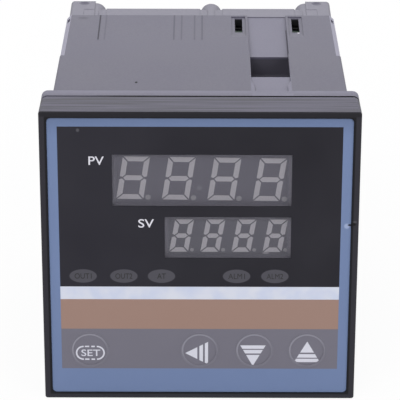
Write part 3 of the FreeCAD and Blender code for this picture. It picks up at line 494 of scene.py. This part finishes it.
def segmentResin():
    f = Finish("segmentResin")
    f.set("Specular IOR Level", segment["specular"])
    grain = f.noise(segment["grainScale"], detail=2)
    tone = f.blend(grain * segment["grainShare"], segment["tone"], segment["shade"])
    for row in segment["pointRows"]:
        for i in range(segment["pointCount"]):
            pointX, pointZ = (start + i * step for start, step in zip(row["start"], row["step"]))
            point = f.oval((pointX, 0, pointZ), (row["radius"], 0, row["radius"]), segment["pointSoft"])
            tone = f.blend(point, tone, segment["point"])
    f.feed(BaseColor=tone, Roughness=segment["roughness"] + grain * segment["grainRoughness"])
    f.bump(grain, segment["grainDepth"], segment["grainStrength"])
    return f.material


# the tinted clear panes over the displays
pane = {
    "alpha": 0.13, "tone": ink(52, 51, 58), "haze": ink(70, 69, 78), "hazeScale": 0.2, "roughness": 0.08,
    "hazeRoughness": 0.08, "waveScale": 0.4, "waveDepth": 0.004, "waveStrength": 0.3,
}


def clearPane():
    f = Finish("clearPane", Alpha=pane["alpha"])
    haze = f.noise(pane["hazeScale"], detail=3)
    f.feed(BaseColor=f.blend(haze, pane["tone"], pane["haze"]),
           Roughness=pane["roughness"] + haze * pane["hazeRoughness"])
    f.bump(f.noise(pane["waveScale"], detail=1), pane["waveDepth"], pane["waveStrength"])
    return f.material


# glass-fibre board under a green mask, with the weave just showing
board = {
    "tone": ink(12, 50, 28), "lighter": ink(18, 62, 36), "cloudScale": 0.3, "roughness": 0.3,
    "cloudRoughness": 0.15, "weave": 9, "weaveDepth": 0.01, "weaveStrength": 0.4, "edge": 0.05,
}


def laminate():
    f = Finish("boardLaminate")
    weave = f.maths("SINE", f.x * board["weave"]) * f.maths("SINE", f.z * board["weave"])
    cloudy = f.noise(board["cloudScale"], detail=3)
    f.feed(BaseColor=f.blend(cloudy, board["tone"], board["lighter"]),
           Roughness=board["roughness"] + cloudy * board["cloudRoughness"])
    f.bump(weave, board["weaveDepth"], board["weaveStrength"], board["edge"])
    return f.material


# plated caps at the two ends of a glass tube
fuse = {
    "glass": ink(150, 158, 156), "cap": ink(205, 205, 202), "stain": ink(176, 176, 172), "capLength": 1.6,
    "capSoft": 0.05, "stainScale": 0.8, "roughness": 0.1, "capRoughness": 0.15, "stainRoughness": 0.08,
    "stainDepth": 0.01, "stainStrength": 0.3, "edge": 0.1,
}


def glassFuse():
    f = Finish("fuseTube", Metallic=0.0)
    low, high = (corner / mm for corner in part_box("glass_fuse"))
    caps = 1 - f.between(f.y, low.y + fuse["capLength"], high.y - fuse["capLength"], fuse["capSoft"])
    stain = f.noise(fuse["stainScale"], detail=3)
    f.feed(BaseColor=f.blend(caps, fuse["glass"], f.blend(stain, fuse["cap"], fuse["stain"])), Metallic=caps,
           Roughness=fuse["roughness"] + caps * fuse["capRoughness"] + stain * fuse["stainRoughness"])
    f.bump(stain, fuse["stainDepth"], fuse["stainStrength"], fuse["edge"])
    return f.material


# what sets each of the plainer finishes apart, by the slot that it fills
mouldings = {
    "lamp_resin": {"name": "lampResin", "tone": ink(120, 46, 40), "roughness": 0.2, "grainScale": 1.0,
                   "grainDepth": 0.002, "edge": 0.0},
    "switch_plastic": {"name": "switchPlastic", "tone": ink(40, 40, 42), "roughness": 0.4},
    "header_plastic": {"name": "headerPlastic", "tone": ink(34, 34, 36), "roughness": 0.4},
    "chip_plastic": {"name": "chipPlastic", "tone": ink(36, 36, 38), "roughness": 0.5, "grainScale": 5.0,
                     "grainDepth": 0.01},
    "capacitor_sleeve": {"name": "capacitorSleeve", "tone": ink(40, 46, 76), "roughness": 0.25,
                         "grainScale": 0.6, "grainDepth": 0.01},
    "varistor_coat": {"name": "varistorCoat", "tone": ink(40, 86, 150), "roughness": 0.25, "grainScale": 0.8,
                      "grainDepth": 0.06},
    "relay_case": {"name": "relayCase", "tone": ink(38, 92, 158), "roughness": 0.3, "grainScale": 1.2,
                   "grainDepth": 0.008, "edge": 0.3},
    "winding_tape": {"name": "windingTape", "tone": ink(210, 190, 70), "roughness": 0.3, "grainScale": 0.7,
                     "grainDepth": 0.03},
    "ferrite": {"name": "ferrite", "tone": ink(58, 58, 60), "roughness": 0.6, "grainScale": 3.0,
                "grainDepth": 0.04},
}
platings = {
    "zinc_steel": {"name": "zincSteel", "tone": ink(190, 192, 190), "roughness": 0.3},
    "crystal_can": {"name": "crystalCan", "tone": ink(200, 200, 200), "roughness": 0.25},
    "terminal_brass": {"name": "terminalBrass", "tone": ink(204, 176, 110), "roughness": 0.28},
    "terminal_plate": {"name": "platedSteel", "tone": ink(204, 204, 200), "roughness": 0.26,
                       "brush": (2, 2, 2), "stain": 0.35},
}
finishes = {
    "case_plastic": casePlastic(), "frame_plastic": framePlastic(), "printed_film": printedFilm(),
    "clear_pane": clearPane(), "board_laminate": laminate(), "fuse_caps": glassFuse(),
    "terminal_plastic": terminalPlastic(), "display_grey": displayFace(), "segment_resin": segmentResin(),
}
finishes.update({slot: plainPlastic(**look) for slot, look in mouldings.items()})
finishes.update({slot: plainMetal(**look) for slot, look in platings.items()})
for name, node in nodes.items():
    node.material_slots[0].material = finishes[node.material_slots[0].material.name]
print("finishes:", len(finishes), "on", len(nodes), "nodes")


# print and numerals are thin solids that stand just proud of the face that carries them
printed = {
    "lift": 0.012, "sink": 0.01, "curveSteps": 5, "weld": 1e-4, "softWhite": ink(207, 206, 215),
    "black": ink(14, 13, 17), "keyWhite": ink(206, 206, 217), "wearScale": 1.5, "wearShare": 0.25,
    "worn": 0.8, "roughness": 0.4, "wearRoughness": 0.15, "wearDepth": 0.003, "wearStrength": 0.4,
}


def printInk(name, tone):
    f = Finish(name)
    wear = f.noise(printed["wearScale"], detail=3)
    worn = [part * printed["worn"] for part in tone[:3]] + [1]
    f.feed(BaseColor=f.blend(wear * printed["wearShare"], tone, worn),
           Roughness=printed["roughness"] + wear * printed["wearRoughness"])
    f.bump(wear, printed["wearDepth"], printed["wearStrength"])
    return f.material


lightInk = printInk("lightInk", printed["softWhite"])
darkInk = printInk("darkInk", printed["black"])
keyInk = printInk("keyInk", printed["keyWhite"])


def finishPiece(name, mesh, material, body):
    piece = bpy.data.objects.new(name, mesh)
    bpy.context.scene.collection.objects.link(piece)
    mesh.materials.append(material)
    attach(piece, body)
    return piece


def prisms(name, outlines, faceY, material, body, depth=printed["sink"]):
    # each outline is a closed run of (x, z) points in mm, drawn on a face that looks along -Y
    shape = bmesh.new()
    for outline in outlines:
        front, back = ([shape.verts.new((x * mm, y * mm, z * mm)) for x, z in outline]
                       for y in (faceY - printed["lift"], faceY + depth))
        shape.faces.new(front)
        shape.faces.new(back[::-1])
        for i in range(len(front)):
            shape.faces.new((front[i - 1], front[i], back[i], back[i - 1]))
    bmesh.ops.recalc_face_normals(shape, faces=shape.faces)
    mesh = bpy.data.meshes.new(name)
    shape.to_mesh(mesh)
    shape.free()
    return finishPiece(name, mesh, material, body)


def lettering(name, words, box, face, material, body="housing", weight=0.0, rear=False,
              lift=printed["lift"]):
    # words that fill box = (low x, high x, low z, high z) in mm; the face looks along -Y, or +Y with rear
    curve = bpy.data.curves.new(name, "FONT")
    curve.body = words
    curve.extrude = 0.5  # only its sign is used, to tell the front from the back
    curve.offset = weight
    curve.resolution_u = printed["curveSteps"]
    holder = bpy.data.objects.new(name + "_curve", curve)
    bpy.context.scene.collection.objects.link(holder)
    bpy.context.view_layer.update()
    mesh = bpy.data.meshes.new_from_object(holder.evaluated_get(bpy.context.evaluated_depsgraph_get()))
    bpy.data.objects.remove(holder)
    shape = bmesh.new()
    shape.from_mesh(mesh)
    bmesh.ops.remove_doubles(shape, verts=shape.verts, dist=printed["weld"])
    xs = [v.co.x for v in shape.verts]
    ys = [v.co.y for v in shape.verts]
    across = (box[1] - box[0]) / (max(xs) - min(xs))
    upward = (box[3] - box[2]) / (max(ys) - min(ys))
    for v in shape.verts:
        x = (v.co.x - min(xs)) * across
        y = face + (printed["sink"] if v.co.z < 0 else -lift) * (-1 if rear else 1)
        v.co = Vector((box[1] - x if rear else box[0] + x, y, box[2] + (v.co.y - min(ys)) * upward)) * mm
    bmesh.ops.recalc_face_normals(shape, faces=shape.faces)
    shape.to_mesh(mesh)
    shape.free()
    mesh.name = name
    mesh.materials.clear()
    return finishPiece(name, mesh, material, body)


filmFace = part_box("overlay_film")[0].y / mm
# each legend: its words, the box that they fill, the weight of the strokes and the ink
legends = {
    "pv_legend": ("PV", (-25.0, -21.55, 23.08, 25.15), 0.008, lightInk),
    "sv_legend": ("SV", (-13.95, -10.4, 7.68, 9.8), 0.008, lightInk),
}
# the words in the dark ovals, from left to right: name, words, width and weight
lampWords = {
    "halfHeight": 0.68,
    "words": (("out1", "OUT1", 3.9, 0.006), ("out2", "OUT2", 3.9, 0.006), ("tune", "AT", 2.0, 0.006),
              ("alarm1", "ALM1", 3.8, 0.0), ("alarm2", "ALM2", 3.8, 0.0)),
}
for lampX, (name, words, width, weight) in zip(film["lampXs"], lampWords["words"]):
    box = (lampX - width / 2, lampX + width / 2,
           film["lampZ"] - lampWords["halfHeight"], film["lampZ"] + lampWords["halfHeight"])
    legends[name + "_legend"] = (words, box, weight, darkInk)
for name, (words, box, weight, tone) in legends.items():
    lettering(name, words, box, filmFace, tone, weight=weight)
print("legends:", len(legends))

# a soft rim round each key closes the cut in the film; it rides on the key, as the symbols do
rim = {"inner": 4.26, "outer": 4.42, "steps": 72, "lift": 0.004, "sink": 0.05}


def keyRim(key, centreX, centreZ):
    shape = bmesh.new()
    rings = []
    front, back = filmFace - rim["lift"], filmFace + rim["sink"]
    section = ((rim["inner"], back), (rim["inner"], front), (rim["outer"], front), (rim["outer"], back))
    for radius, y in section:
        rings.append([shape.verts.new(Vector((centreX + radius * math.cos(math.tau * i / rim["steps"]), y,
                                              centreZ + radius * math.sin(math.tau * i / rim["steps"]))) * mm)
                      for i in range(rim["steps"])])
    for inner, outer in zip(rings, rings[1:] + rings[:1]):
        for i in range(rim["steps"]):
            shape.faces.new((inner[i - 1], inner[i], outer[i], outer[i - 1]))
    bmesh.ops.recalc_face_normals(shape, faces=shape.faces)
    mesh = bpy.data.meshes.new(key + "_key_rim")
    shape.to_mesh(mesh)
    shape.free()
    return finishPiece(key + "_key_rim", mesh, finishes["printed_film"], key + "_key")


# each symbol is a triangle cut into slices; turn is in degrees, and half is half its width at the foot
symbols = {
    "shift": {"turn": 90, "length": 5.29, "half": 2.92, "slices": ((0, 2.79), (3.28, 4.11), (4.55, 5.29)),
              "offset": (-0.7, -0.81)},
    "down": {"turn": 180, "length": 5.35, "half": 2.935, "slices": ((0, 2.87), (3.26, 4.19), (4.47, 5.35)),
             "offset": (-0.3, -1.45)},
    "up": {"turn": 0, "length": 5.34, "half": 3.015, "slices": ((0, 2.87), (3.26, 4.19), (4.47, 5.34)),
           "offset": (0.04, -0.42)},
}


def keyMiddle(key):
    low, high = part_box(key + "_key")
    middle = (low + high) / 2 / mm
    return middle.x, middle.z


for key in ("set", "shift", "down", "up"):
    keyRim(key, *keyMiddle(key))
for key, s in symbols.items():
    keyX, keyZ = keyMiddle(key)
    turn = math.radians(s["turn"])
    outlines = []
    for start, end in s["slices"]:
        corners = []
        for run, side in ((start, -1), (end, -1), (end, 1), (start, 1)):
            if run > 0 or side < 0:
                across = side * s["half"] * run / s["length"]
                along = s["length"] / 2 - run
                corners.append((keyX + s["offset"][0] + across * math.cos(turn) - along * math.sin(turn),
                                keyZ + s["offset"][1] + across * math.sin(turn) + along * math.cos(turn)))
        outlines.append(corners)
    prisms(key + "_symbol", outlines, filmFace, keyInk, key + "_key")

# the SET word inside a dashed border with round ends
setMark = {"halfRun": 1.535, "radius": 1.66, "line": 0.36, "drop": -0.8, "side": 0.07, "arcSteps": 14,
           "dashes": ((-1.25, -0.25), (0.25, 1.06)), "text": (4.4, 1.7), "textSide": 0.11, "weight": 0.008}


def dash(points, width):
    # a stroke of that width along points, as one outline
    left, right = [], []
    for i, (x, z) in enumerate(points):
        ahead, behind = points[min(i + 1, len(points) - 1)], points[max(i - 1, 0)]
        run = Vector((ahead[0] - behind[0], ahead[1] - behind[1])).normalized() * width / 2
        left.append((x - run.y, z + run.x))
        right.append((x + run.y, z - run.x))
    return left + right[::-1]


keyX, keyZ = keyMiddle("set")
markX, markZ = keyX + setMark["side"], keyZ + setMark["drop"]
strokes = []
for side in (-1, 1):
    angles = [math.pi * (i / setMark["arcSteps"] - 0.5) for i in range(setMark["arcSteps"] + 1)]
    strokes.append([(markX + side * (setMark["halfRun"] + setMark["radius"] * math.cos(a)),
                     markZ + setMark["radius"] * math.sin(a)) for a in angles])
    for start, end in setMark["dashes"]:
        strokes.append([(markX + x, markZ + side * setMark["radius"]) for x in (start, end)])
borderLines = [dash(points, setMark["line"]) for points in strokes]
prisms("set_border", borderLines, filmFace, keyInk, "set_key")
halfX, halfZ = (size / 2 for size in setMark["text"])
textX = markX + setMark["textSide"]
lettering("set_legend", "SET", (textX - halfX, textX + halfX, markZ - halfZ, markZ + halfZ), filmFace, keyInk,
          "set_key", weight=setMark["weight"])
print("key symbols done")

# small webs join the screw bosses to the top and bottom walls of the terminal block
webs = {
    "bossXs": (-26.4, 2.7, 26.4), "inner": 0.9, "levelInner": 0.1, "shoulder": 2.1, "outer": 2.86,
    "low": 28.0, "high": 32.7, "crown": 32.42, "front": 58.86, "length": 5.5, "levelFrom": 3,
}
webOutlines = []
for bossX in webs["bossXs"]:
    for side in (-1, 1):
        # the two webs beside the corner posts are long and level, the others slope down to the boss
        level = bossX * side > webs["levelFrom"]
        inner = webs["levelInner"] if level else webs["inner"]
        near, middle, far = (bossX + side * reach for reach in (inner, webs["shoulder"], webs["outer"]))
        outline = [(near, webs["low"]), (far, webs["low"]), (far, webs["high"]), (middle, webs["high"]),
                   (near, webs["high"] if level else webs["crown"])]
        webOutlines += [outline, [(x, -z) for x, z in outline]]
prisms("boss_webs", webOutlines, webs["front"], finishes["terminal_plastic"], "housing",
       webs["length"])
print("boss webs:", len(webOutlines))

# plain numbers beside the rear terminals, on the raised middle of the block
terminals = {
    "count": 6, "x": 12.75, "pitch": 8.8, "faceY": 66.9, "height": 2.0, "width": 1.3, "wide": 2.3,
    "widths": {"1": 0.45, "11": 1.5}, "lift": 0.15, "weight": 0.01, "tone": ink(150, 150, 154),
}
numberInk = printInk("numberInk", terminals["tone"])
for i in range(2 * terminals["count"]):
    number = str(i + 1)
    half = terminals["widths"].get(number, terminals["wide"] if len(number) > 1 else terminals["width"]) / 2
    middle = terminals["x"] * (1 if i < terminals["count"] else -1)
    rowZ = ((terminals["count"] - 1) / 2 - i % terminals["count"]) * terminals["pitch"]
    lettering("terminal_number_" + number, number,
              (middle - half, middle + half, rowZ - terminals["height"] / 2, rowZ + terminals["height"] / 2),
              terminals["faceY"], numberInk, weight=terminals["weight"], rear=True,
              lift=terminals["lift"])
print("terminal numbers:", 2 * terminals["count"])

# a white floor and world, which the camera sees as paper white with a soft shadow
room = {"floorZ": -36.1, "floorHalf": 4000, "shadowShare": 0.07, "floorTone": 1.0, "fill": 0.52, "paper": 1.0}
pureWhite = (1, 1, 1, 1)


def seenRays(finish):
    # 1 for what the camera sees straight, in gloss or through glass
    path = finish.add("LightPath").link.node
    straight, gloss, glass = (Socket(finish, path.outputs["Is " + ray + " Ray"])
                              for ray in ("Camera", "Glossy", "Transmission"))
    return finish.add("Math", {"operation": "ADD", "use_clamp": True}, {0: straight + gloss, 1: glass})


floorFinish = Finish("paleFloor")
lit = floorFinish.add("BsdfDiffuse", sockets={"Color": [room["floorTone"]] * 3 + [1]})
white = floorFinish.add("Emission", sockets={"Color": pureWhite, "Strength": room["paper"]})
share = seenRays(floorFinish) * (1 - room["shadowShare"])
mixed = floorFinish.add("MixShader", sockets={0: share, 1: lit, 2: white})
floorFinish.join(mixed, floorFinish.output.inputs["Surface"])
half = room["floorHalf"] * mm
floorMesh = bpy.data.meshes.new("floor")
corners = [(x * half, y * half, room["floorZ"] * mm) for x, y in ((-1, -1), (1, -1), (1, 1), (-1, 1))]
floorMesh.from_pydata(corners, [], [(0, 1, 2, 3)])
floor = bpy.data.objects.new("floor", floorMesh)
floorMesh.materials.append(floorFinish.material)
bpy.context.scene.collection.objects.link(floor)


class Sky(Finish):
    # the world's own node tree, with the same methods
    def __init__(self, name):
        self.world = bpy.data.worlds.new(name)
        self.world.use_nodes = True
        self.tree = self.world.node_tree
        self.tree.nodes.clear()


sky = Sky("studioWorld")
dim = sky.add("Background", sockets={"Color": pureWhite, "Strength": room["fill"]})
bright = sky.add("Background", sockets={"Color": pureWhite, "Strength": room["paper"]})
skyMix = sky.add("MixShader", sockets={0: seenRays(sky), 1: dim, 2: bright})
sky.join(skyMix, sky.add("OutputWorld").inputs["Surface"])
bpy.context.scene.world = sky.world

# each lamp: place and size in metres, and its power in watts
lamps = {
    "keyLamp": {"place": (-0.5, -1.1, 1.0), "size": (0.9, 0.9), "power": 8.8, "tint": (1, 1, 1)},
    "sideLamp": {"place": (0.8, -0.9, 0.6), "size": (0.8, 0.8), "power": 4.5, "tint": (1, 1, 1)},
    "rearLamp": {"place": (0.0, 1.2, 0.85), "size": (1.8, 1.0), "power": 9.0, "tint": (0.93, 0.92, 1)},
}
for name, lamp in lamps.items():
    light = bpy.data.lights.new(name, "AREA")
    light.shape = "RECTANGLE"
    light.size, light.size_y = lamp["size"]
    light.energy = lamp["power"]
    light.color = lamp["tint"]
    holder = bpy.data.objects.new(name, light)
    holder.location = lamp["place"]
    holder.rotation_euler = Vector(lamp["place"]).to_track_quat("Z", "Y").to_euler()
    bpy.context.scene.collection.objects.link(holder)

# camera: places in metres, angles in degrees, lens and sensor in millimetres
view = {
    "place": (0.00016, -0.51935, 0.23875), "down": 23.875, "turn": 0.016, "roll": 0.128, "lens": 221.04,
    "sensor": 36, "nearest": 0.01,
}
camera = bpy.data.objects.new("camera", bpy.data.cameras.new("camera"))
camera.data.lens = view["lens"]
camera.data.sensor_width = view["sensor"]
camera.data.clip_start = view["nearest"]
camera.matrix_world = (Matrix.Translation(view["place"]) @ Matrix.Rotation(math.radians(view["turn"]), 4, "Z")
                       @ Matrix.Rotation(math.radians(90 - view["down"]), 4, "X")
                       @ Matrix.Rotation(math.radians(view["roll"]), 4, "Z"))
bpy.context.scene.collection.objects.link(camera)
bpy.context.scene.camera = camera
bpy.context.scene.view_settings.view_transform = "Standard"
print("room and camera done")
